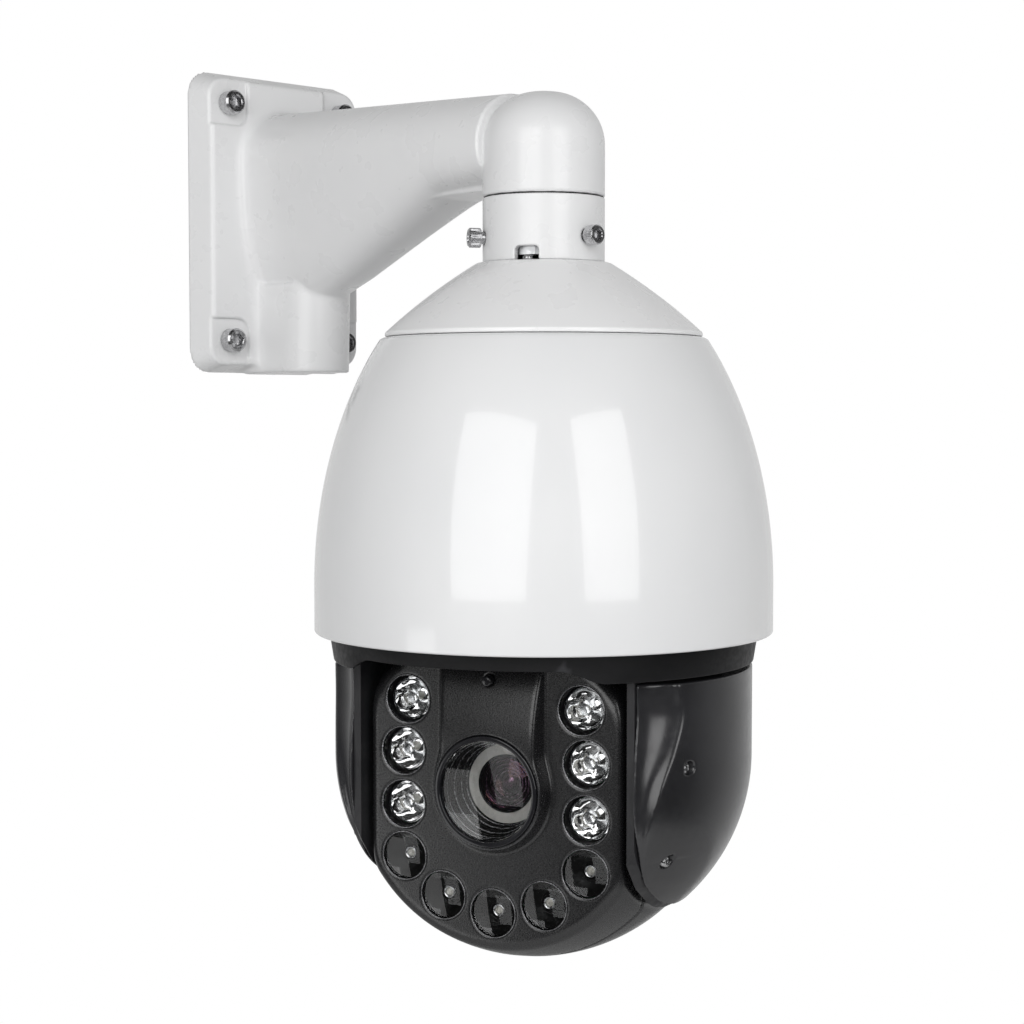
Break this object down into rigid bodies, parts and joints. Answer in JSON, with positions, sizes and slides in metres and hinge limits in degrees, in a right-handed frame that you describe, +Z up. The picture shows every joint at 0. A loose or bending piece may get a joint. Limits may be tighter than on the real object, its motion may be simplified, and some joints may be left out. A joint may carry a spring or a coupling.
{
  "type": "ptz camera",
  "caption": "Outdoor infrared speed dome: egg-shaped white dome on a hollow wall arm, with a turning yoke and a tilting round camera head with lamps round its lens.",
  "frame": {"origin": "centre of the wall plate's back face, on the wall", "axes": "+Y into the wall, so the arm runs along -Y; +Z up; X across the wall plate"},
  "size_m": [0.226, 0.339, 0.4555],
  "materials": {
    "white_paint": "semi-gloss white powder coat on die-cast aluminium",
    "white_shell": "high-gloss white moulding",
    "black_satin": "black satin moulding with a fine spark-eroded grain",
    "black_metal": "black paint on die-cast aluminium",
    "black_gloss": "polished black moulding",
    "black_rubber": "matt black rubber",
    "stainless": "bright stainless steel with a turned and knurled finish",
    "aluminium": "machined aluminium",
    "motor_black": "dark painted motor and camera housings",
    "board_green": "solder-masked circuit board",
    "clear_window": "clear polished window and lamp lenses",
    "coated_glass": "optical glass with a purple anti-reflection coating",
    "bush_plastic": "natural acetal"
  },
  "bodies": {
    "bracket_and_dome": {"wall_bracket": "white_paint", "wall_screw_1": "stainless", "wall_screw_2": "stainless", "wall_screw_3": "stainless", "wall_screw_4": "stainless", "neck_gasket": "black_rubber", "neck_spigot": "aluminium", "neck_collar": "white_paint", "collar_screw_1": "stainless", "collar_screw_2": "stainless", "collar_screw_3": "stainless", "earth_screw": "stainless", "top_cap": "white_paint", "dome_shell": "white_shell", "chassis_plate": "aluminium", "main_board": "board_green", "pan_motor": "motor_black", "pan_bearing_outer": "stainless", "slip_ring": "black_gloss", "pan_belt": "black_rubber"},
    "pan_motor_rotor": {"pan_motor_pulley": "aluminium"},
    "yoke": {"pan_spindle": "aluminium", "pan_pulley": "black_satin", "pan_bearing_inner": "stainless", "yoke_frame": "black_metal", "yoke_skirt": "black_satin", "ear_cover_left": "black_satin", "ear_cover_right": "black_satin", "ear_screw_left_front": "stainless", "ear_screw_left_low": "stainless", "ear_screw_right_front": "stainless", "ear_screw_right_low": "stainless", "tilt_bush_left": "bush_plastic", "tilt_bush_right": "bush_plastic", "tilt_motor": "motor_black", "tilt_belt": "black_rubber"},
    "tilt_motor_rotor": {"tilt_motor_pulley": "aluminium"},
    "head": {"tilt_shaft_left": "stainless", "tilt_shaft_right": "stainless", "tilt_pulley": "black_satin", "head_front_shell": "black_satin", "head_rear_shell": "black_satin", "head_seal": "black_rubber", "lamp_board": "board_green", "beam_lens_1": "clear_window", "beam_lens_2": "clear_window", "beam_lens_3": "clear_window", "beam_lens_4": "clear_window", "beam_lens_5": "clear_window", "beam_lens_6": "clear_window", "low_lamp_window": "clear_window", "lens_ring": "black_gloss", "lens_window": "clear_window", "lens_baffle": "black_gloss", "zoom_block": "motor_black", "front_lens": "coated_glass", "light_sensor": "black_gloss"},
    "zoom_carriage": {"zoom_group": "coated_glass"},
    "focus_carriage": {"focus_group": "coated_glass"},
    "filter_carriage": {"cut_filter": "coated_glass"}
  },
  "joints": [
    {"name": "pan", "type": "hinge", "parent": "bracket_and_dome", "child": "yoke", "pos_m": [0, -0.226, -0.2], "axis": [0, 0, 1], "continuous": true},
    {"name": "pan_motor_turn", "type": "hinge", "parent": "bracket_and_dome", "child": "pan_motor_rotor", "pos_m": [0, -0.156, -0.175], "axis": [0, 0, 1], "continuous": true},
    {"name": "tilt", "type": "hinge", "parent": "yoke", "child": "head", "pos_m": [0, -0.226, -0.282], "axis": [0.3795, -0.9252, 0], "range_deg": [-5, 90]},
    {"name": "tilt_motor_turn", "type": "hinge", "parent": "yoke", "child": "tilt_motor_rotor", "pos_m": [0.03415, -0.30927, -0.2505], "axis": [0.3795, -0.9252, 0], "range_deg": [-14, 233]},
    {"name": "zoom", "type": "slide", "parent": "head", "child": "zoom_carriage", "axis": [0.9252, 0.3795, 0], "range_m": [0, 0.012]},
    {"name": "focus", "type": "slide", "parent": "head", "child": "focus_carriage", "axis": [0.9252, 0.3795, 0], "range_m": [0, 0.006]},
    {"name": "day_night_filter", "type": "slide", "parent": "head", "child": "filter_carriage", "axis": [0.3795, -0.9252, 0], "range_m": [0, 0.013]}
  ],
  "couplings": [
    {"joint": "pan_motor_turn", "follows": "pan", "ratio": 5.4286},
    {"joint": "tilt_motor_turn", "follows": "tilt", "ratio": 2.5714}
  ]
}
